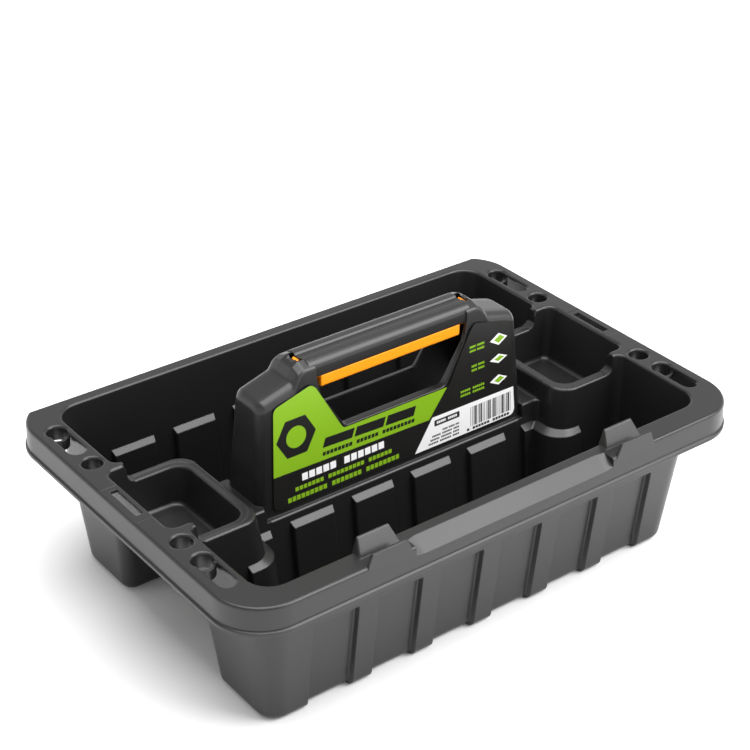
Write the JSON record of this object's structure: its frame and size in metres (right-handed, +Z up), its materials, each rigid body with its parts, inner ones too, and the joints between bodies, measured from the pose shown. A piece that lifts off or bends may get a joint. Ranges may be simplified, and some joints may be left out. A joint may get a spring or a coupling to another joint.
{
  "type": "tool caddy",
  "caption": "Open carrying tray for hand tools: long bins either side of a raised handle, small tubs at the ends and tool holes in the rim.",
  "frame": {"origin": "on the ground under the middle of the tray", "axes": "+X along the length, -Y to the front with the two tabs, +Z up"},
  "size_m": [0.5028, 0.3518, 0.2145],
  "materials": {
    "black_polypropylene": "fine satin texture",
    "amber_polypropylene": "smooth satin",
    "printed_label": "satin print"
  },
  "bodies": {
    "root": {"tray": "black_polypropylene", "grip_insert": "amber_polypropylene", "label_front": "printed_label"}
  },
  "joints": []
}
